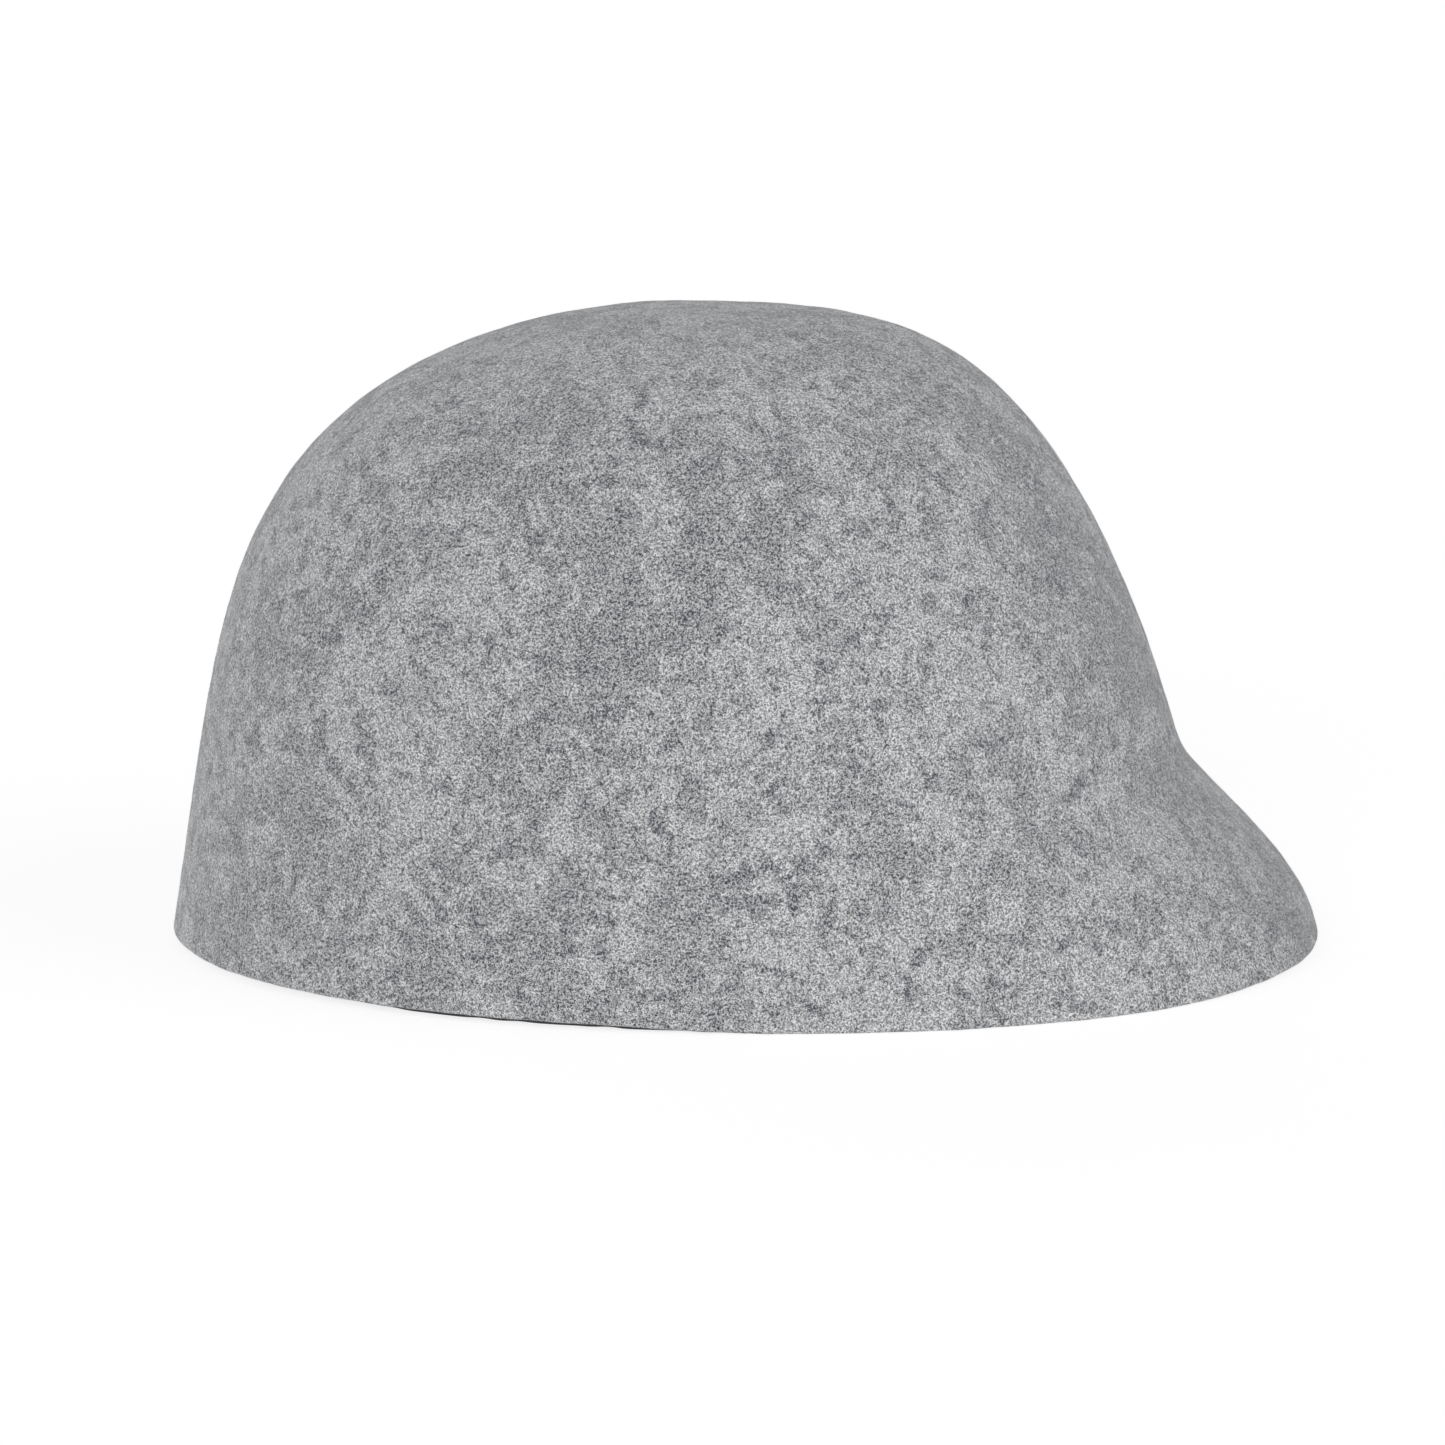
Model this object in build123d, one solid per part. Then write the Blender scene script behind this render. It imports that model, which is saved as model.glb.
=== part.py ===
"""Riding cap of blocked wool felt. One felt shell makes the crown and the peak, a
ribbon sweatband lines the head opening, and a flat bow covers the ribbon's join.
Millimetres, +X to the front, +Y to the wearer's left, +Z up. The origin is the centre
of the head opening, in the plane of the rim, on which the cap rests."""

import math
import os

from build123d import *

# Hat block, which is the outside of the felt
crown_height = 128.5
front_reach = 110.3  # the crown's front wall, carried down to the rim
back_reach = 103.7
half_width = 86.5
widest_station = 15.0  # the rim is widest this far ahead of the origin
back_lean = 0.19  # share by which the back wall leans in towards the top
side_lean = 0.05
front_bend, front_fullness = 1.2, 0.28  # exponents: how each wall rounds into the top
back_bend, back_fullness = 5.0, 0.52
side_bend, side_fullness = 2.6, 0.42

# Peak, where the front wall turns outwards at the crease and runs down to the rim
crease_height = 35.6
crease_softness = 2.0
peak_slope = 0.775  # outward reach for each millimetre of drop
peak_tuck = 6.4  # how far the peak's edge curls back in
tuck_bend = 4.0
peak_squareness = 0.3  # added at the rim to the 2 that makes the plan an ellipse

# Felt
felt_thickness = 2.4
rim_rounding = 0.8

# Ribbon sweatband, low at the back and sides and above the crease at the front
ribbon_width = 25.0
ribbon_thickness = 0.6
ribbon_lift = 1.0  # the ribbon's lower edge stands this far above the rim or the crease
ribbon_clearance = 0.3
rise_start, rise_end = 5.0, 88.0  # the ribbon climbs between these distances forward
lap_length = 14.0

# Flat bow over the ribbon's lapped join, at the centre back
bow_width = 34.0
bow_height = 10.0
bow_waist = 5.0
bow_thickness = 1.2
bow_corner = 1.5
knot_width = 6.0
knot_thickness = 0.7
bow_gap = 0.1

# Sections through the block
section_points = 16
peak_steps = 5
crown_steps = 9
apex_gap = 0.0005  # share of the height left between the last section and the apex


def crease_at(inset):
    """Height of the crease at a depth below the outside of the felt."""
    return crease_height - inset * (math.hypot(1, peak_slope) - 1) / peak_slope


def flare(drop, crease):
    """Outward reach of the peak at a drop below the crease, with a soft turn there."""
    turn = crease_softness * math.log1p(math.exp(drop / crease_softness))
    tuck = peak_tuck * max(0.0, drop / crease) ** tuck_bend
    return peak_slope * turn - tuck


def oval(centre, front, back, side, squareness):
    """A closed curve through points spaced evenly round an oval: half an ellipse
    behind its widest point, and a squarer half ahead of it."""
    points = []
    for n in range(section_points):
        angle = math.tau * n / section_points
        ahead, across = math.cos(angle), math.sin(angle)
        reach, power = (front, 2 + squareness) if ahead > 0 else (back, 2)
        forward = math.copysign(abs(ahead) ** (2 / power), ahead)
        sideways = math.copysign(abs(across) ** (2 / power), across)
        points.append(centre + Vector(reach * forward, side * sideways))
    spacing = [n / section_points for n in range(section_points + 1)]
    return Wire([Edge.make_spline(points, parameters=spacing, periodic=True)])


def section(height, inset):
    """The outline of one level of the block, drawn in by inset."""
    share = height / (crown_height - inset)
    front = (front_reach - inset) * (1 - share**front_bend) ** front_fullness
    back = (back_reach - inset) * (1 - share**back_bend) ** back_fullness
    side = (half_width - inset) * (1 - share**side_bend) ** side_fullness
    crease = crease_at(inset)
    front += flare(crease - height, crease)
    back *= 1 - back_lean * share
    side *= 1 - side_lean * share
    station = widest_station * (1 - share**2)
    squareness = peak_squareness * max(0.0, 1 - height / crease)
    centre = Vector(station, 0, height)
    return oval(centre, front - station, back + station, side, squareness)


def levels(top):
    """Heights of the sections, closest in the crease and towards the top."""
    peak = [crease_height * n / peak_steps for n in range(peak_steps)]
    crease = [crease_height + crease_softness * n for n in range(-2, 4)]
    foot = math.asin((crease[-1] + crease_softness) / top)
    step = (math.pi / 2 - foot) / crown_steps
    crown = [top * math.sin(foot + step * n) for n in range(crown_steps)]
    return [*peak, *crease, *crown, top * (1 - apex_gap)]


def block(inset):
    """The hat block as a solid, drawn in by inset everywhere but at the rim's plane."""
    top = crown_height - inset
    sections = [section(height, inset) for height in levels(top)]
    return Solid.make_loft([*sections, Vertex(0, 0, top)])


def layer(inset, thickness, outline):
    """What lies within outline between two depths below the outside of the felt."""
    return (block(inset) & outline) - block(inset + thickness)


def felt_body():
    """Crown and peak, blocked in one from a single hood, with the cut rim eased."""
    shell = block(0) - block(felt_thickness)
    rim = shell.edges().group_by(Axis.Z)[0]
    return shell.fillet(rim_rounding, rim)


def ribbon_outline():
    """Side view of the ribbon, carried across the cap: level at the back, level again
    over the crease, and an even climb between them."""
    low = ribbon_lift + ribbon_width / 2
    high = crease_height + low
    middle = (rise_start + rise_end) / 2
    back_end = (-2 * back_reach, low)
    front_end = (2 * front_reach, high)
    back_run = Line(back_end, (rise_start, low))
    climb = Bezier((rise_start, low), (middle, low), (middle, high), (rise_end, high))
    front_run = Line((rise_end, high), front_end)
    side_view = trace([back_run, climb, front_run], ribbon_width)
    return extrude(Plane.XZ * side_view, 2 * half_width, both=True)


def back_outline(sketch):
    """A sketch drawn on the centre back of the ribbon, carried through it."""
    height = ribbon_lift + ribbon_width / 2
    place = Plane((-back_reach, 0, height), x_dir=(0, -1, 0), z_dir=(1, 0, 0))
    return extrude(place * sketch, back_reach / 2)


def sweatband():
    """The ribbon as a loop, with one end lapped over the other at the centre back."""
    inset = felt_thickness + ribbon_clearance
    loop = layer(inset, ribbon_thickness, ribbon_outline())
    lap = back_outline(Rectangle(lap_length, ribbon_width))
    half = ribbon_thickness / 2
    return loop + layer(inset + half, ribbon_thickness + half, lap)


def lap_depth():
    """Depth of the lapped ribbon's inner face below the outside of the felt."""
    return felt_thickness + ribbon_clearance + 2 * ribbon_thickness


def bow_loops():
    """Two flat loops of ribbon, pinched in at the middle."""
    loops = RectangleRounded(bow_width, bow_height, bow_corner)
    waist, end = knot_width / 2 + bow_gap, bow_width / 2 - 2 * bow_corner
    low, high = bow_waist / 2, bow_height / 2
    notch = make_face(Polyline((waist, low), (end, high), (-end, high), (-waist, low), close=True))
    loops = loops - notch - mirror(notch, Plane.XZ)
    depth = lap_depth() + bow_gap + knot_thickness + bow_gap
    return layer(depth, bow_thickness, back_outline(loops))


def bow_knot():
    """A turn of ribbon round the waist of the bow."""
    depth = lap_depth() + bow_gap
    passage_height = bow_waist + 2 * bow_gap
    passage_depth = bow_thickness + 2 * bow_gap
    outside = Rectangle(knot_width, passage_height + 2 * knot_thickness)
    passage = Rectangle(2 * knot_width, passage_height)
    turn = layer(depth, passage_depth + 2 * knot_thickness, back_outline(outside))
    return turn - layer(depth + knot_thickness, passage_depth, back_outline(passage))


pieces = {
    "felt_body": felt_body,
    "sweatband": sweatband,
    "bow_loops": bow_loops,
    "bow_knot": bow_knot,
}

os.makedirs("parts", exist_ok=True)
for name, make in pieces.items():
    export_step(make(), f"parts/{name}.step")
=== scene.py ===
"""Riding cap of light grey marled wool felt, with a ribbon sweatband and a flat bow
inside. Metres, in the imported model's frame: +X to the front, +Y to the wearer's left,
+Z up, with the rim on the plane Z = 0."""

import math

import bpy
import numpy as np
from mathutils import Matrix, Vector, noise


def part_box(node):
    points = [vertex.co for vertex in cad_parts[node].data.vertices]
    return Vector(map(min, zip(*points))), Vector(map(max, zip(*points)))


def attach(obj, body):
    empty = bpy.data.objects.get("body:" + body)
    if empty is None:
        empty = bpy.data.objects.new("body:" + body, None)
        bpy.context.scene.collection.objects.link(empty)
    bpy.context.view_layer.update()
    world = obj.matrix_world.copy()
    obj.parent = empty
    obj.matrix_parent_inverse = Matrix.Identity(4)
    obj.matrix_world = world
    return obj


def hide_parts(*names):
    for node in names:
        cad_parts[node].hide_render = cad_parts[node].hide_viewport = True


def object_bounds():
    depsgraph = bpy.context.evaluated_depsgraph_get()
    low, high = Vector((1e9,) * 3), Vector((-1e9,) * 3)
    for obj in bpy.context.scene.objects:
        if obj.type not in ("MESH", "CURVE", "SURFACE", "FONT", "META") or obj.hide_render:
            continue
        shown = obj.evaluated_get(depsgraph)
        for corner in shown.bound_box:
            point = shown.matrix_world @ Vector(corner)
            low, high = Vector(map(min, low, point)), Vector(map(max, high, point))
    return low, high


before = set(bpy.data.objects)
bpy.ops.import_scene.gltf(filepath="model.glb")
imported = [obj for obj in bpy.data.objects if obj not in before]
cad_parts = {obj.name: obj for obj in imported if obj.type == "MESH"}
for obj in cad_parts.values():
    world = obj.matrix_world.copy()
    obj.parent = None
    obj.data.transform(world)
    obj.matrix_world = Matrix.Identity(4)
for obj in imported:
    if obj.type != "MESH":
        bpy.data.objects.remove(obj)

cad_low, cad_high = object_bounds()
felt_low, felt_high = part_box("felt_body")
MM = 0.001

# The hat block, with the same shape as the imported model's
CROWN_HEIGHT = felt_high.z
BACK_REACH = -felt_low.x
HALF_WIDTH = felt_high.y
WIDEST_STATION = 15 * MM
BACK_LEAN, SIDE_LEAN = 0.19, 0.05
FRONT_BEND, FRONT_FULLNESS = 1.2, 0.28
BACK_BEND, BACK_FULLNESS = 5.0, 0.52
SIDE_BEND, SIDE_FULLNESS = 2.6, 0.42
CREASE_HEIGHT = 35.6 * MM
CREASE_SOFTNESS = 2.0 * MM
PEAK_SLOPE = 0.775
PEAK_TUCK = 6.4 * MM
TUCK_BEND = 4.0
PEAK_SQUARENESS = 0.3
FRONT_REACH = felt_high.x - PEAK_SLOPE * CREASE_HEIGHT + PEAK_TUCK

FELT_THICKNESS = 2.4 * MM
RIM_ROUNDING = 0.8 * MM

# The ribbon sweatband and its bow
RIBBON_WIDTH = 25 * MM
RIBBON_THICKNESS = 0.5 * MM
RIBBON_LIFT = 1.0 * MM
RIBBON_CLEARANCE = 0.3 * MM
RISE_START, RISE_END = 5 * MM, 88 * MM
RIBBON_HANG = 2.1 * MM  # how much lower it was sewn behind the wearer's right ear
HANG_START, HANG_END, HANG_EASE = -66 * MM, 38 * MM, 26 * MM
WAVER_SHARE, WAVER_SPANS = 0.1, (7.3 * MM, 2.7 * MM)  # of the edge that hangs
LAP_LENGTH = 14 * MM
LAP_RAMP, LAP_GAP = 20 * MM, 0.08 * MM
RIBBON_DEPTH = FELT_THICKNESS + RIBBON_CLEARANCE + RIBBON_THICKNESS / 2
RIB_PITCH, RIB_STEPS = 1.1 * MM, 4
RIB_SINK = 0.6  # share of the thickness lost between two ribs
SELVEDGE = 0.6 * MM
EDGE_TRIM = 0.2 * MM  # left at each edge for its rounding
EDGE_BULGE = 0.6  # how far each edge rounds outwards, as a share of half the thickness
STITCH_EDGE = 2.2 * MM  # up from the ribbon's lower edge
STITCH_LENGTH, STITCH_PITCH = 3.0 * MM, 4.6 * MM
STITCH_RISE, STITCH_SINK = 0.35 * MM, 0.22 * MM  # of its middle, and of its ends
THREAD_RADIUS = 0.18 * MM
THREAD_TAPER = 0.95  # how near to a point each stitch comes at its ends

BOW_WIDTH, BOW_HEIGHT, BOW_WAIST = 34 * MM, 10 * MM, 5 * MM
BOW_CENTRE = RIBBON_LIFT + RIBBON_WIDTH / 2
BOW_DEPTH = 5.4 * MM  # of its middle, below the outside of the felt
BOW_PLY = 0.34 * MM  # thickness of its ribbon
BOW_END_BEND, BOW_CLOSING = 0.75, 8  # exponents: how the ribbon turns back at each end
BOW_PARTING, BOW_PUFF, PUFF_REACH = 0.25 * MM, 0.4 * MM, 9 * MM  # between its two layers
BOW_SPREAD = 12 * MM  # out from the middle, to where it has its full height
PLEAT_DEPTH, PLEAT_WAVES, PLEAT_REACH = 0.22 * MM, 2.25, 11 * MM
KNOT_WIDTH, KNOT_PLY = 6 * MM, 0.4 * MM
KNOT_OVER, KNOT_OUT = 0.45 * MM, 1.12 * MM  # its middle, past the waist and the bow
KNOT_SQUARENESS = 0.55  # exponent: how tightly it turns its corners
KNOT_GROOVES, GROOVE_DEPTH = 3, 0.09 * MM

# Unevenness of the hand-blocked felt
WARP_SEED = 5
WARP_SPAN, WARP_DEPTH = 60 * MM, 0.5 * MM
WARP_RISE = 20 * MM  # the rim keeps its height, and the felt is free from here up
RIM_SAG = 1.1 * MM  # how far the rim dips between the ears and the peak
SAG_START, SAG_END = 0 * MM, 112 * MM  # stations between which it dips
SAG_EASE, SAG_RISE = 40 * MM, 40 * MM  # how gently it dips, and how far up it reaches
CLUMP_SPAN, CLUMP_DEPTH = 7 * MM, 0.14 * MM

# Sets of fibres: name, curls in a millimetre, width, shift of the pattern
FIBRE_SETS = (
    ("light", 2.0, 0.075, 3.0),
    ("fair", 2.8, 0.12, 41.0),
    ("dark", 2.1, 0.065, 87.0),
    ("shade", 2.9, 0.12, 123.0),
)

# How they show, from the lowest up, with the smudges of darker wool among them: name,
# share seen where the wool is dark and where it is pale, colour
FIBRE_TONES = (
    ("shade", 0.75, 0.65, (0.068, 0.072, 0.088)),
    ("fair", 0.75, 0.85, (0.64, 0.645, 0.66)),
    ("dark", 1.0, 0.5, (0.02, 0.021, 0.028)),
    ("smudge", 0.8, 0.8, (0.075, 0.081, 0.102)),
    ("light", 0.66, 1.0, (0.98, 0.985, 0.995)),
)

# Studio
ROOM_LIGHT, OVERHEAD_LIGHT = 0.46, 0.27
OVERHEAD_START, OVERHEAD_END = 0.1, 0.95  # how far up the room the light weakens
FLOOR_GLOW, FLOOR_SHADE = 0.78, 0.42
FLOOR_SIDE, FLOOR_GAP = 8.0, 0.05 * MM
CAMERA_AIM = Vector((9.2, -1.5, 42.8)) * MM
CAMERA_DISTANCE, CAMERA_ELEVATION = 1500 * MM, math.radians(12)
CAMERA_TURN = 0.0032  # towards the front, as a share of the distance
CAMERA_SENSOR, CAMERA_LENS = 36, 183.1

# Broad far lamps: name, strength, spread, azimuth and elevation in degrees. Azimuth 0
# shines from the camera's side, and 90 from the front
LAMPS = (
    ("key", 1.06, 50, -20, 9),
    ("fill", 0.84, 70, 66, 22),
    ("rear", 0.7, 70, 205, 8),
)

# Meshes
COLUMNS = 400  # round the cap
OUTER_ROWS, INNER_ROWS, ROUNDING_ROWS = 130, 84, 4
FINE_STEPS = 4000  # for measuring lengths along a curve
APEX_CROWDING = 3.5  # exponent: how the fine steps crowd towards the crown's top
RISE_STEPS = 200  # along the ribbon's climb
HEIGHT_ROUNDS = 12  # in which the ribbon's heights come to rest on its slanting line
RIBBON_STRIPS, BOW_STRIPS, KNOT_STRIPS = 11, 15, 13  # points across each ribbon's face
BOW_STEPS, KNOT_STEPS = 260, 72
STITCH_STEPS, THREAD_SIDES = 7, 6


def crease_at(inset):
    """Height of the crease at a depth below the outside of the felt."""
    return CREASE_HEIGHT - inset * (math.hypot(1, PEAK_SLOPE) - 1) / PEAK_SLOPE


def flare(drop, crease):
    """Outward reach of the peak at a drop below the crease."""
    turn = CREASE_SOFTNESS * np.log1p(np.exp(drop / CREASE_SOFTNESS))
    tuck = PEAK_TUCK * np.maximum(0, drop / crease) ** TUCK_BEND
    return PEAK_SLOPE * turn - tuck


def reaches(height, inset):
    """Station of the widest place, and reach to the front, back and side, at a level."""
    share = height / (CROWN_HEIGHT - inset)
    front = (FRONT_REACH - inset) * (1 - share**FRONT_BEND) ** FRONT_FULLNESS
    back = (BACK_REACH - inset) * (1 - share**BACK_BEND) ** BACK_FULLNESS
    side = (HALF_WIDTH - inset) * (1 - share**SIDE_BEND) ** SIDE_FULLNESS
    crease = crease_at(inset)
    front = front + flare(crease - height, crease)
    station = WIDEST_STATION * (1 - share**2)
    return station, front, back * (1 - BACK_LEAN * share), side * (1 - SIDE_LEAN * share)


def felt_points(angle, height, inset):
    """Points at an angle round the cap, 0 at the front, at a height and a depth."""
    angle, height, inset = np.broadcast_arrays(angle, height, inset)
    station, front, back, side = reaches(height, inset)
    squareness = PEAK_SQUARENESS * np.maximum(0, 1 - height / crease_at(inset))
    ahead, across = np.cos(angle), np.sin(angle)
    power = np.where(ahead > 0, 2 / (2 + squareness), 1)
    reach = np.where(ahead > 0, front - station, back + station)
    x = station + reach * np.sign(ahead) * np.abs(ahead) ** power
    y = side * np.sign(across) * np.abs(across) ** power
    return np.stack([x, y, height], -1)


def even_heights(inset, foot, count):
    """Heights from the top down to foot, evenly spaced along the surface."""
    top = CROWN_HEIGHT - inset
    fine = 1 - np.linspace(0, 1, FINE_STEPS)[1:] ** APEX_CROWDING
    heights = foot + (top - foot) * np.append(fine, 0)
    lines = [felt_points(a, heights, inset) for a in (0, math.pi / 2, math.pi)]
    steps = [np.linalg.norm(np.diff(line, axis=0), axis=1) for line in lines]
    run = np.append(0, np.cumsum(np.max(steps, axis=0)))
    return np.interp(np.linspace(0, run[-1], count), run, heights)


def felt_rows():
    """Height and depth of each row: down the outside, round the cut rim, up the inside."""
    turn = np.linspace(0, math.pi / 2, ROUNDING_ROWS + 1)[1:]
    outer = even_heights(0, RIM_ROUNDING, OUTER_ROWS)
    inner = even_heights(FELT_THICKNESS, RIM_ROUNDING, INNER_ROWS)[::-1]
    rows = [(h, 0) for h in outer]
    rows += [(RIM_ROUNDING * (1 - math.sin(t)), RIM_ROUNDING * (1 - math.cos(t))) for t in turn]
    edge = FELT_THICKNESS - RIM_ROUNDING
    rows += [(0, (RIM_ROUNDING + edge) / 2), (0, edge)]
    rows += [(RIM_ROUNDING * (1 - math.cos(t)), edge + RIM_ROUNDING * math.sin(t)) for t in turn]
    rows += [(h, FELT_THICKNESS) for h in inner[1:]]
    return np.array(rows)


def smooth(share):
    """An even start and end for a share that runs from 0 to 1."""
    share = np.clip(share, 0, 1)
    return share * share * (3 - 2 * share)


def rim_sag(points):
    """How far down each point sits where the rim dips towards the peak."""
    station, height = points[..., 0], points[..., 2]
    ahead = smooth((station - SAG_START) / SAG_EASE + 0.5)
    behind = smooth((SAG_END - station) / SAG_EASE + 0.5)
    return RIM_SAG * ahead * behind * (1 - smooth(height / SAG_RISE))


def settled(points):
    """Points moved with the cap's slight unevenness, which every piece shares."""
    moved = np.array(points, float)
    moved[..., 2] -= rim_sag(moved)
    for p in moved.reshape(-1, 3):
        push = noise.noise_vector(Vector(p) / WARP_SPAN) * WARP_DEPTH
        push.z *= min(1, max(0, p[2] / WARP_RISE))
        p += push
    return moved


def grid_faces(rows, columns, first=0, ring=False, poles=False):
    """Faces of a grid of points closed round its rows. Its first and last rows meet
    in a ring, come to one point each at the poles, or end in flat faces."""
    index = first + np.arange(rows * columns).reshape(rows, columns)
    if poles:
        index[0], index[-1] = index[0, 0], index[-1, 0]
    after = np.roll(index, -1, axis=0) if ring else index[1:]
    here = index if ring else index[:-1]
    beside = np.roll(here, -1, axis=1), np.roll(after, -1, axis=1)
    quads = np.stack([here, after, beside[1], beside[0]], -1).reshape(-1, 4)
    faces = [tuple(dict.fromkeys(corners)) for corners in quads.tolist()]
    if not ring and not poles:
        faces += [tuple(index[0].tolist()), tuple(index[-1, ::-1].tolist())]
    return faces


def solid_object(name, grids, crests=None, **ends):
    """One smooth mesh of solids, each given as a grid of points closed round its rows.
    Crests tell how high each point of a single grid stands on the ribbon's ribs."""
    points, faces = [], []
    for grid in grids:
        faces += grid_faces(*grid.shape[:2], first=len(points), **ends)
        points += grid.reshape(-1, 3).tolist()
    used = {corner: n for n, corner in enumerate(sorted({c for f in faces for c in f}))}
    faces = [tuple(used[c] for c in face) for face in faces]
    mesh = bpy.data.meshes.new(name)
    mesh.from_pydata([points[c] for c in used], [], faces)
    mesh.shade_smooth()
    if crests is not None:
        mesh.attributes.new("crest", "FLOAT", "POINT").data.foreach_set("value", crests.ravel())
    thing = bpy.data.objects.new(name, mesh)
    bpy.context.scene.collection.objects.link(thing)
    return thing


def press_clumps(thing):
    """Raises and lowers a felt surface by its clumps of wool."""
    mesh = thing.data
    count = len(mesh.vertices)
    normals, places = np.zeros(count * 3), np.zeros(count * 3)
    mesh.vertex_normals.foreach_get("vector", normals)
    mesh.vertices.foreach_get("co", places)
    places = places.reshape(-1, 3)
    lumps = np.array([noise.fractal(Vector(p) / CLUMP_SPAN, 1.0, 2.0, 3) for p in places])
    places += normals.reshape(-1, 3) * (lumps * CLUMP_DEPTH)[:, None]
    mesh.vertices.foreach_set("co", places.ravel())
    mesh.update()


def make_felt():
    """Crown and peak, one closed skin: outside, cut rim and inside."""
    rows = felt_rows()
    angle = np.linspace(0, math.tau, COLUMNS, endpoint=False)
    points = felt_points(angle[None, :], rows[:, :1], rows[:, 1:])
    felt = solid_object("felt_shell", [settled(points)], poles=True)
    press_clumps(felt)
    return felt


def ribbon_rise():
    """The climb of the ribbon's middle line in side view: stations, heights, slopes."""
    t = np.linspace(0, 1, RISE_STEPS)
    low = RIBBON_LIFT + RIBBON_WIDTH / 2
    middle = (RISE_START + RISE_END) / 2
    stations = RISE_START * (1 - t) ** 3 + 3 * middle * t * (1 - t) + RISE_END * t**3
    heights = low + CREASE_HEIGHT * (3 * t**2 - 2 * t**3)
    return stations, heights, np.gradient(heights, stations)


def ribbon_hang(points, across):
    """How far the ribbon's lower edge was sewn too low, on the wearer's right."""
    station, right = points[..., 0], points[..., 1] < 0
    ahead = smooth((station - HANG_START) / HANG_EASE + 0.5)
    behind = smooth((HANG_END - station) / HANG_EASE + 0.5)
    long_wave, short_wave = (np.sin(station / span) ** 2 for span in WAVER_SPANS)
    waver = 1 - WAVER_SHARE * long_wave * short_wave
    edge = smooth(0.5 - across / RIBBON_WIDTH)
    return RIBBON_HANG * right * ahead * behind * waver * edge


def ribbon_points(angle, across, inset):
    """Points of the sweatband at an angle, a place across its width and a depth."""
    angle, across, inset = np.broadcast_arrays(angle, across, inset)
    stations, heights, slopes = ribbon_rise()
    height = across + RIBBON_LIFT + RIBBON_WIDTH / 2
    for _ in range(HEIGHT_ROUNDS):
        x = felt_points(angle, height, inset)[..., 0]
        stretch = np.hypot(1, np.interp(x, stations, slopes))
        height = np.interp(x, stations, heights) + across * stretch
    points = felt_points(angle, height, inset)
    points[..., 2] -= ribbon_hang(points, across)
    return points


def ribbon_run():
    """Angles along the sweatband at even steps of its length, from one end at the
    centre back round to the other, which laps over it, and that length."""
    half_lap = LAP_LENGTH / 2 / HALF_WIDTH
    angle = np.linspace(math.pi - half_lap, 3 * math.pi + half_lap, FINE_STEPS)
    line = ribbon_points(angle, 0, RIBBON_DEPTH)
    run = np.append(0, np.cumsum(np.linalg.norm(np.diff(line, axis=0), axis=1)))
    steps = round(run[-1] / RIB_PITCH) * RIB_STEPS
    even = np.linspace(0, run[-1], steps + 1)
    return np.interp(even, run, angle), even


def lapped(along, length):
    """Extra depth of the ribbon where its end lies over its start."""
    return (RIBBON_THICKNESS + LAP_GAP) * smooth((along - (length - LAP_RAMP)) / LAP_RAMP)


def strip_section(half_width, half_thickness, steps):
    """Round a flat strip's cross-section: places across it, and to each side of its
    middle layer."""
    across = np.linspace(-half_width, half_width, steps)
    edge = half_width + half_thickness * EDGE_BULGE
    places = np.concatenate([across, [edge], across[::-1], [-edge]])
    sides = np.concatenate([np.ones(steps), [0], -np.ones(steps), [0]])
    return places, sides * half_thickness


def ribbed(along, across, half_width):
    """Share of the full thickness left between the ribs, which die out at the selvedge."""
    groove = 0.5 - 0.5 * np.cos(math.tau * along / RIB_PITCH)
    inner = np.clip((half_width - np.abs(across)) / SELVEDGE, 0, 1)
    return 1 - RIB_SINK * groove * inner


def make_sweatband():
    """The ribbed ribbon round the head opening, and the angles and lengths along it."""
    angle, along = ribbon_run()
    half_width = RIBBON_WIDTH / 2 - EDGE_TRIM
    across, side = strip_section(half_width, RIBBON_THICKNESS / 2, RIBBON_STRIPS)
    crest = ribbed(along[:, None], across[None, :], half_width)
    depth = RIBBON_DEPTH + lapped(along, along[-1])[:, None] + side * crest
    points = ribbon_points(angle[:, None], across[None, :], depth)
    band = solid_object("ribbon_sweatband", [settled(points)], crest)
    return band, angle, along


def thread_rings(path, out):
    """Rings of points round a thread's path, drawn nearly to a point at both ends."""
    tangent = np.gradient(path, axis=0)
    tangent /= np.linalg.norm(tangent, axis=1)[:, None]
    beside = np.cross(tangent, out)
    beside /= np.linalg.norm(beside, axis=1)[:, None]
    up = np.cross(beside, tangent)
    turn = np.linspace(0, math.tau, THREAD_SIDES, endpoint=False)[None, :, None]
    taper = np.sqrt(1 - np.linspace(-THREAD_TAPER, THREAD_TAPER, len(path)) ** 2)
    radius = THREAD_RADIUS * taper[:, None, None]
    return path[:, None] + radius * (up[:, None] * np.sin(turn) + beside[:, None] * np.cos(turn))


def make_stitches(angle, along):
    """A running stitch along the sweatband's lower edge, caught in the felt behind it."""
    across = STITCH_EDGE - RIBBON_WIDTH / 2
    starts = np.arange(along[0] + STITCH_PITCH, along[-1] - STITCH_LENGTH, STITCH_PITCH)
    rings = []
    for start in starts:
        run = start + np.linspace(0, STITCH_LENGTH, STITCH_STEPS)
        turn = np.interp(run, along, angle)
        rise = np.sin(np.linspace(0, math.pi, STITCH_STEPS)) * STITCH_RISE - STITCH_SINK
        face = RIBBON_DEPTH + lapped(run, along[-1]) + RIBBON_THICKNESS / 2
        path = ribbon_points(turn, across, face + rise)
        out = ribbon_points(turn, across, face + MM) - ribbon_points(turn, across, face)
        rings.append(thread_rings(path, out))
    return solid_object("sweatband_stitches", [settled(r) for r in rings])


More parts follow.
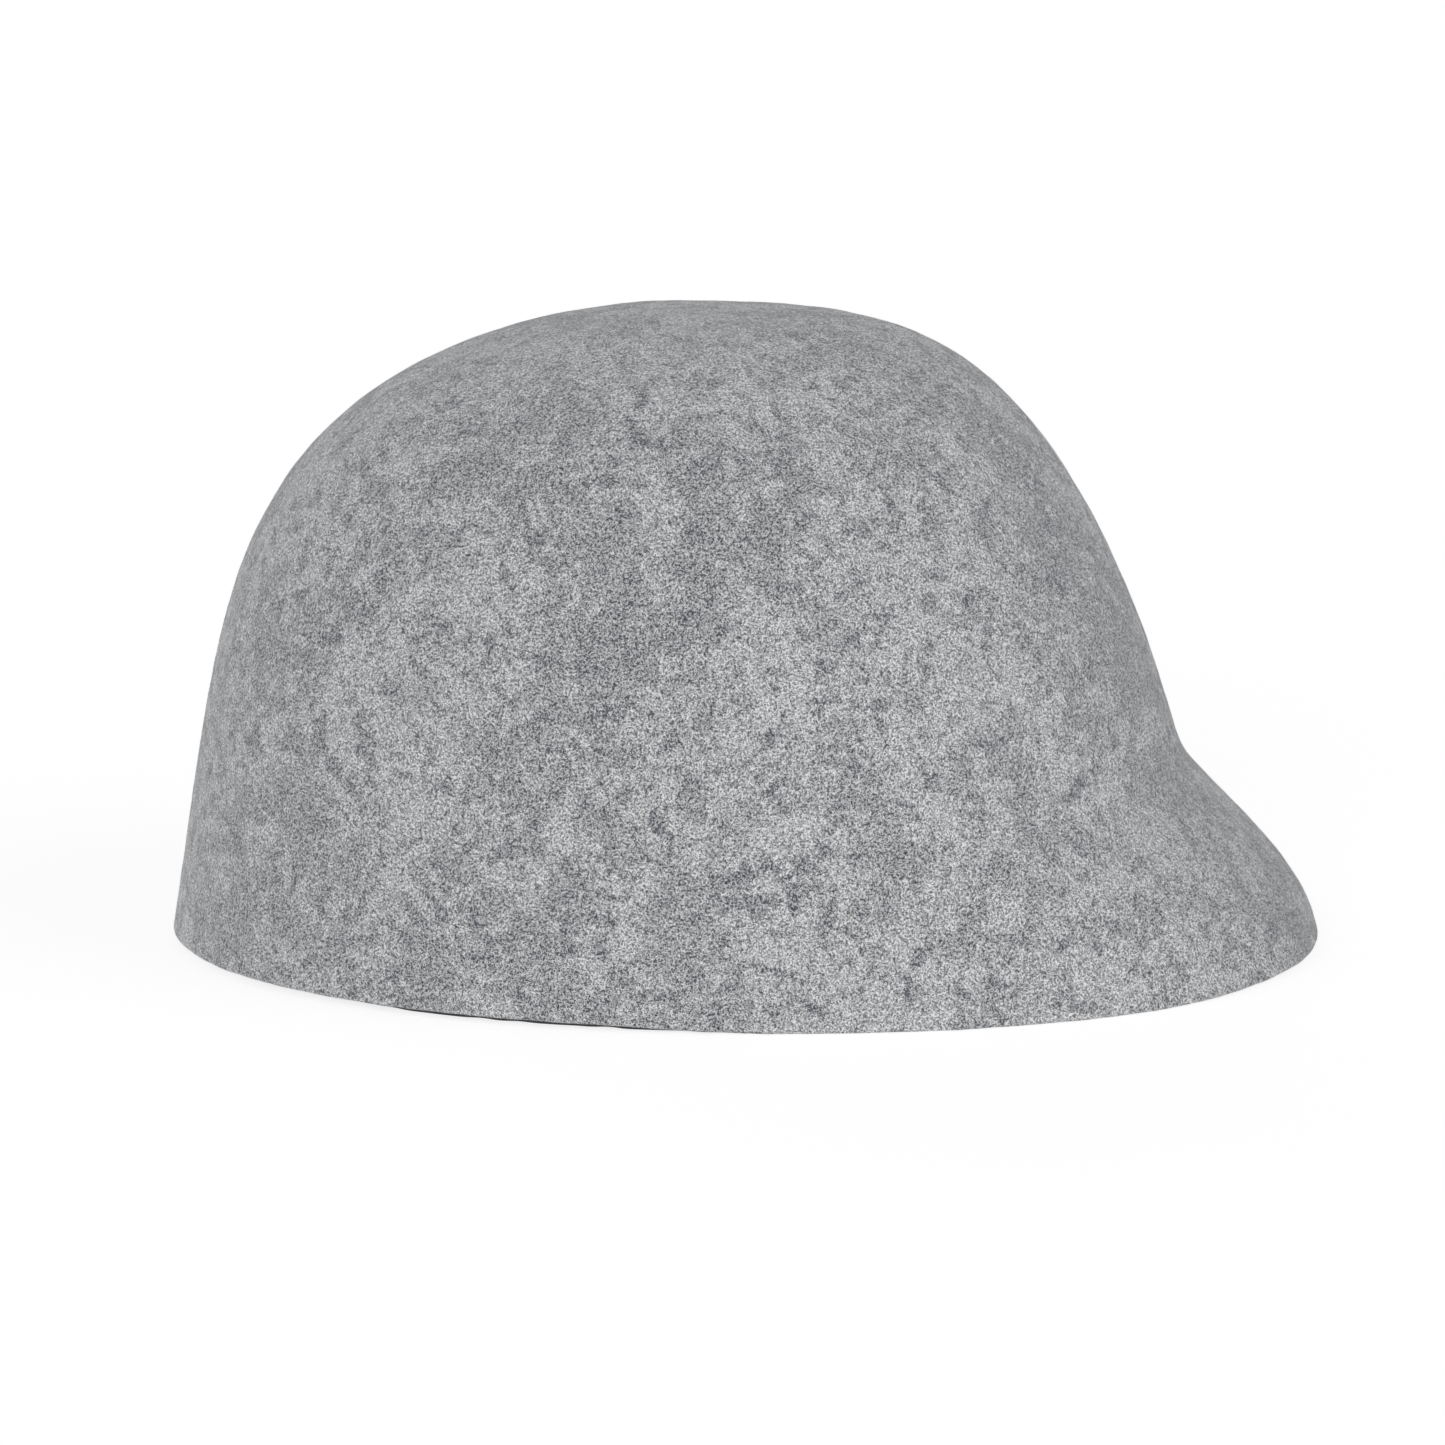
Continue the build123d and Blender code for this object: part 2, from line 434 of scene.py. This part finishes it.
def back_wall(y, z, depth):
    """Points at a place across and up the inside of the centre back, at a depth."""
    y, z, depth = np.broadcast_arrays(y, z, depth)
    station, _, back, side = reaches(z, depth)
    x = station - (back + station) * np.sqrt(1 - (y / side) ** 2)
    return np.stack([x, y, z], -1)


def powered(wave, exponent):
    """A wave with its sign kept and its size raised to a power."""
    return np.sign(wave) * np.abs(wave) ** exponent


def make_bow_loops():
    """A ring of ribbon pressed flat and pinched at the middle, which makes two loops."""
    half = BOW_WIDTH / 2
    turn = np.linspace(0, math.tau, BOW_STEPS, endpoint=False)[:, None]
    layer = np.sign(np.sin(turn))
    out = half * powered(np.cos(turn), BOW_END_BEND)
    run = np.abs(out)
    closing = np.sqrt(1 - np.minimum(1, run / half) ** BOW_CLOSING)
    gap = closing * (BOW_PARTING + BOW_PUFF * smooth(run / PUFF_REACH))
    half_height = (BOW_WAIST + (BOW_HEIGHT - BOW_WAIST) * smooth(run / BOW_SPREAD)) / 2
    across, side = strip_section(1, BOW_PLY / 2, BOW_STRIPS)
    pleats = PLEAT_DEPTH * np.cos(across * PLEAT_WAVES * math.tau) * (1 - smooth(run / PLEAT_REACH))
    crest = ribbed(out, across, 1)
    depth = BOW_DEPTH + gap * layer + pleats + side * crest * layer
    points = back_wall(out, BOW_CENTRE + across * half_height, depth)
    return solid_object("bow_loops_ribbon", [settled(points)], crest, ring=True)


def make_bow_knot():
    """A turn of ribbon drawn tight round the middle of the bow."""
    turn = np.linspace(0, math.tau, KNOT_STEPS, endpoint=False)[:, None]
    over = powered(np.sin(turn), KNOT_SQUARENESS)
    outwards = powered(np.cos(turn), KNOT_SQUARENESS)
    across, side = strip_section(KNOT_WIDTH / 2, KNOT_PLY / 2, KNOT_STRIPS)
    swell = side + GROOVE_DEPTH * np.cos(across / KNOT_WIDTH * KNOT_GROOVES * math.tau)
    depth = BOW_DEPTH + (KNOT_OUT + swell) * outwards
    level = BOW_CENTRE + (BOW_WAIST / 2 + KNOT_OVER + swell) * over
    points = back_wall(across, level, depth)
    crest = np.broadcast_to(ribbed(across, 0, KNOT_WIDTH), level.shape)
    return solid_object("bow_knot_ribbon", [settled(points)], crest, ring=True)


class Wiring:
    """Adds nodes to a material or a node group and wires them together."""

    def __init__(self, tree):
        self.tree = tree

    def add(self, kind, values=None, **settings):
        made = self.tree.nodes.new(kind)
        for name, value in settings.items():
            setattr(made, name, value)
        for name, value in (values or {}).items():
            if isinstance(value, bpy.types.NodeSocket):
                self.tree.links.new(value, made.inputs[name])
            else:
                made.inputs[name].default_value = value
        return made

    def math(self, operation, *values):
        return self.add("ShaderNodeMath", dict(enumerate(values)), operation=operation).outputs[0]

    def vector(self, operation, *values):
        made = self.add("ShaderNodeVectorMath", dict(enumerate(values)), operation=operation)
        return made.outputs[0]

    def noise(self, place, scale, detail=2.0, roughness=0.5, distortion=0.0):
        values = {
            "Vector": place,
            "Scale": scale,
            "Detail": detail,
            "Roughness": roughness,
            "Distortion": distortion,
        }
        return self.add("ShaderNodeTexNoise", values)

    def ease(self, value, start, end, low=0.0, high=1.0):
        """Value carried smoothly from start..end to low..high."""
        values = {"Value": value, "From Min": start, "From Max": end, "To Min": low, "To Max": high}
        return self.add("ShaderNodeMapRange", values, interpolation_type="SMOOTHSTEP").outputs[0]

    def blend(self, share, first, second):
        """First colour changed to second by share."""
        made = self.add("ShaderNodeMix", {0: share, 6: first, 7: second}, data_type="RGBA")
        return made.outputs[2]

    def weigh(self, *parts):
        """The sum of values, each given with its weight."""
        total = 0
        for value, weight in parts:
            total = self.math("MULTIPLY_ADD", value, weight, total)
        return total

    def apart(self, colour):
        return self.add("ShaderNodeSeparateColor", {0: colour}).outputs


def shader_group(name, inputs, outputs):
    """An empty node group with named inputs and outputs, given as name: (kind, default)."""
    tree = bpy.data.node_groups.new(name, "ShaderNodeTree")
    for label, (kind, default) in inputs.items():
        socket = tree.interface.new_socket(label, in_out="INPUT", socket_type=kind)
        if default is not None:
            socket.default_value = default
    for label, kind in outputs.items():
        tree.interface.new_socket(label, in_out="OUTPUT", socket_type=kind)
    wires = Wiring(tree)
    return tree, wires, wires.add("NodeGroupInput").outputs, wires.add("NodeGroupOutput")


def fibre_group():
    """Short curly fibres lying in all directions. Three noise fields give three sets of
    fibres, and each set is broken off by the next field."""
    inputs = {
        "Place": ("NodeSocketVector", None),
        "Curl": ("NodeSocketFloat", 1.0),
        "Width": ("NodeSocketFloat", 0.05),
        "Shift": ("NodeSocketFloat", 0.0),
    }
    tree, wires, given, result = shader_group("fibres", inputs, {"Mask": "NodeSocketFloat"})
    place = wires.vector("ADD", given["Place"], given["Shift"])
    field = wires.noise(place, given["Curl"], detail=0.0, roughness=0.5, distortion=0.3)
    parts = wires.apart(field.outputs["Color"])
    sets = []
    for n in range(3):
        off_line = wires.math("ABSOLUTE", wires.math("SUBTRACT", parts[n], 0.5))
        line = wires.ease(wires.math("DIVIDE", off_line, given["Width"]), 0.4, 1.0, 1.0, 0.0)
        length = wires.ease(parts[(n + 1) % 3], 0.46, 0.56)
        sets.append(wires.math("MULTIPLY", line, length))
    most = wires.math("MAXIMUM", wires.math("MAXIMUM", sets[0], sets[1]), sets[2])
    tree.links.new(most, result.inputs["Mask"])
    return tree


def new_material(name):
    made = bpy.data.materials.new(name)
    made.use_nodes = True
    made.node_tree.nodes.clear()
    return made, Wiring(made.node_tree)


def millimetres(wires):
    """The place on the object, in millimetres."""
    place = wires.add("ShaderNodeTexCoord").outputs["Object"]
    return wires.vector("MULTIPLY", place, (1000, 1000, 1000))


def felt_material(fibres):
    """Light wool marled with dark: a mottled ground, with fibres of both on top, and painted shade
    darkening the pits of its grain.
    """
    made, wires = new_material("marled_wool_felt")
    place = millimetres(wires)
    drift = wires.noise(place, 0.03, detail=2, roughness=0.5).outputs["Fac"]
    patches = wires.noise(place, 0.1, detail=5, roughness=0.6, distortion=0.4).outputs["Fac"]
    clumps = wires.noise(place, 0.38, detail=3, roughness=0.65, distortion=0.6).outputs["Fac"]
    grain = wires.noise(place, 3.2, detail=2, roughness=0.7, distortion=0.6).outputs["Fac"]
    mottle = wires.weigh((drift, 0.24), (patches, 0.38), (clumps, 0.38))
    smudges = wires.noise(place, 0.22, detail=4, roughness=0.6, distortion=0.5).outputs["Fac"]
    clear = wires.ease(smudges, 0.40, 0.48)
    pale = wires.math("MULTIPLY", wires.ease(mottle, 0.43, 0.555), clear)

    shown = {"smudge": wires.ease(smudges, 0.44, 0.33)}
    for label, curl, width, shift in FIBRE_SETS:
        values = {"Place": place, "Curl": curl, "Width": width, "Shift": shift}
        shown[label] = wires.add("ShaderNodeGroup", values, node_tree=fibres).outputs["Mask"]

    ground = wires.blend(pale, (0.085, 0.093, 0.115, 1), (0.41, 0.413, 0.422, 1))
    # Painted shade: darker where the grain sinks into pits, as the bump does
    pit_shade = wires.ease(wires.weigh((grain, 0.8), (clumps, 0.2)), 0.56, 0.40)
    colour = wires.blend(wires.math("MULTIPLY", pit_shade, 0.8), ground, (0.06, 0.062, 0.072, 1))
    for label, in_dark, in_pale, tone in FIBRE_TONES:
        share = wires.math("MULTIPLY", shown[label], wires.ease(pale, 0, 1, in_dark, in_pale))
        colour = wires.blend(share, colour, (*tone, 1))

    raised = wires.weigh(
        (shown["light"], 0.6), (shown["fair"], 0.4), (grain, 0.6), (shown["dark"], -0.3)
    )
    bump = wires.add("ShaderNodeBump", {"Strength": 0.8, "Distance": 0.1 * MM, "Height": raised})
    wool = wires.add(
        "ShaderNodeBsdfPrincipled",
        {
            "Base Color": colour,
            "Roughness": 0.95,
            "Specular IOR Level": 0.15,
            "Sheen Weight": 0.45,
            "Sheen Roughness": 0.6,
            "Sheen Tint": (0.95, 0.96, 1.0, 1),
            "Normal": bump.outputs[0],
        },
    )
    wires.add("ShaderNodeOutputMaterial", {"Surface": wool.outputs[0]})
    return made


def ribbon_material():
    """Black grosgrain: fine warp threads over the ribs, with a dry sheen, and painted shade
    darkening the grooves between the ribs.
    """
    made, wires = new_material("black_grosgrain")
    place = millimetres(wires)
    crest = wires.add("ShaderNodeAttribute", attribute_name="crest").outputs["Fac"]
    patches = wires.noise(place, 0.12, detail=3).outputs["Fac"]
    threads = wires.noise(place, 5.0, detail=2, roughness=0.7).outputs["Fac"]
    shade = wires.ease(wires.weigh((patches, 0.5), (threads, 0.5)), 0.3, 0.7)
    colour = wires.blend(shade, (0.018, 0.018, 0.020, 1), (0.036, 0.036, 0.040, 1))
    # Painted shade: the grooves between the ribs darkened towards black
    groove = wires.ease(crest, 1.0 - RIB_SINK, 1.0, 1.0, 0.0)
    colour = wires.blend(groove, colour, (0.004, 0.004, 0.005, 1))
    bump = wires.add("ShaderNodeBump", {"Strength": 0.5, "Distance": 0.08 * MM, "Height": threads})
    cloth = wires.add(
        "ShaderNodeBsdfPrincipled",
        {
            "Base Color": colour,
            "Roughness": 0.62,
            "Sheen Weight": 0.12,
            "Sheen Roughness": 0.4,
            "Normal": bump.outputs[0],
        },
    )
    wires.add("ShaderNodeOutputMaterial", {"Surface": cloth.outputs[0]})
    return made


def thread_material():
    """Black sewing thread with the twist of its plies."""
    made, wires = new_material("black_thread")
    plies = wires.noise(millimetres(wires), 3.5, detail=1).outputs["Fac"]
    shade = wires.ease(plies, 0.35, 0.65)
    colour = wires.blend(shade, (0.014, 0.014, 0.016, 1), (0.05, 0.05, 0.054, 1))
    bump = wires.add("ShaderNodeBump", {"Strength": 0.6, "Distance": 0.06 * MM, "Height": plies})
    values = {"Base Color": colour, "Roughness": 0.5, "Normal": bump.outputs[0]}
    thread = wires.add("ShaderNodeBsdfPrincipled", values)
    wires.add("ShaderNodeOutputMaterial", {"Surface": thread.outputs[0]})
    return made


def white_to_the_eye(wires):
    """1 for the rays that see a surface, directly, mirrored or through glass."""
    ray = wires.add("ShaderNodeLightPath").outputs
    seen = wires.math("MAXIMUM", ray["Is Camera Ray"], ray["Is Glossy Ray"])
    return wires.math("MAXIMUM", seen, ray["Is Transmission Ray"])


def floor_material():
    """White from above but for the cap's soft shadow, and clear from below and to the
    light, so that the inside of the cap is lit and open to view."""
    made, wires = new_material("pale_floor")
    above = wires.math("SUBTRACT", 1, wires.add("ShaderNodeNewGeometry").outputs["Backfacing"])
    shown = wires.math("MULTIPLY", white_to_the_eye(wires), above)
    glow = wires.add("ShaderNodeEmission", {"Color": (1, 1, 1, 1), "Strength": FLOOR_GLOW})
    pale = wires.add("ShaderNodeBsdfDiffuse", {"Color": (*[FLOOR_SHADE] * 3, 1)})
    white = wires.add("ShaderNodeAddShader", {0: glow.outputs[0], 1: pale.outputs[0]})
    clear = wires.add("ShaderNodeBsdfTransparent").outputs[0]
    mixed = wires.add("ShaderNodeMixShader", {0: shown, 1: clear, 2: white.outputs[0]})
    wires.add("ShaderNodeOutputMaterial", {"Surface": mixed.outputs[0]})
    return made


def make_floor():
    mesh = bpy.data.meshes.new("floor")
    edge = FLOOR_SIDE / 2
    corners = [(-edge, -edge, 0), (edge, -edge, 0), (edge, edge, 0), (-edge, edge, 0)]
    mesh.from_pydata(corners, [], [(0, 1, 2, 3)])
    floor = bpy.data.objects.new("floor", mesh)
    bpy.context.scene.collection.objects.link(floor)
    floor.location.z = cad_low.z - RIM_SAG - FLOOR_GAP
    mesh.materials.append(floor_material())


def make_world():
    """Soft light from all round, weaker from overhead, with white for the background."""
    world = bpy.data.worlds.new("studio")
    world.use_nodes = True
    world.node_tree.nodes.clear()
    wires = Wiring(world.node_tree)
    towards = wires.add("ShaderNodeTexCoord").outputs["Generated"]
    height = wires.add("ShaderNodeSeparateXYZ", {"Vector": towards}).outputs["Z"]
    fall = (OVERHEAD_START, OVERHEAD_END, ROOM_LIGHT, OVERHEAD_LIGHT)
    strength = wires.ease(height, *fall)
    soft = wires.add("ShaderNodeBackground", {"Color": (1, 1, 1, 1), "Strength": strength})
    white = wires.add("ShaderNodeBackground", {"Color": (1, 1, 1, 1), "Strength": 1.0})
    values = {0: white_to_the_eye(wires), 1: soft.outputs[0], 2: white.outputs[0]}
    mixed = wires.add("ShaderNodeMixShader", values)
    wires.add("ShaderNodeOutputWorld", {"Surface": mixed.outputs[0]})
    bpy.context.scene.world = world


def make_lamp(name, strength, spread, azimuth, elevation):
    lamp = bpy.data.lights.new(name, "SUN")
    lamp.energy = strength
    lamp.angle = math.radians(spread)
    thing = bpy.data.objects.new(name, lamp)
    bpy.context.scene.collection.objects.link(thing)
    a, e = math.radians(azimuth), math.radians(elevation)
    source = Vector((math.sin(a) * math.cos(e), -math.cos(a) * math.cos(e), math.sin(e)))
    thing.rotation_euler = source.to_track_quat("Z", "Y").to_euler()


def make_camera():
    camera = bpy.data.objects.new("camera", bpy.data.cameras.new("camera"))
    bpy.context.scene.collection.objects.link(camera)
    away = Vector((CAMERA_TURN, -math.cos(CAMERA_ELEVATION), math.sin(CAMERA_ELEVATION)))
    camera.location = CAMERA_AIM + away * CAMERA_DISTANCE
    camera.rotation_euler = away.to_track_quat("Z", "Y").to_euler()
    camera.data.sensor_width = CAMERA_SENSOR
    camera.data.lens = CAMERA_LENS
    bpy.context.scene.camera = camera


def dress(piece, slot, material, *nodes):
    """Gives a piece its material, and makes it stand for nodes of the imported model."""
    piece.data.materials.append(material)
    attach(piece, "root")
    if nodes:
        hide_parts(*nodes)


noise.seed_set(WARP_SEED)
felt = make_felt()
dress(felt, "wool_felt", felt_material(fibre_group()), "felt_body")

grosgrain = ribbon_material()
sweatband, band_angles, band_run = make_sweatband()
dress(sweatband, "grosgrain_ribbon", grosgrain, "sweatband")
stitches = make_stitches(band_angles, band_run)
dress(stitches, "grosgrain_ribbon", thread_material())

bow = make_bow_loops()
dress(bow, "grosgrain_ribbon", grosgrain, "bow_loops")
knot = make_bow_knot()
dress(knot, "grosgrain_ribbon", grosgrain, "bow_knot")

make_floor()
make_world()
for lamp in LAMPS:
    make_lamp(*lamp)
make_camera()
bpy.context.scene.view_settings.view_transform = "Standard"
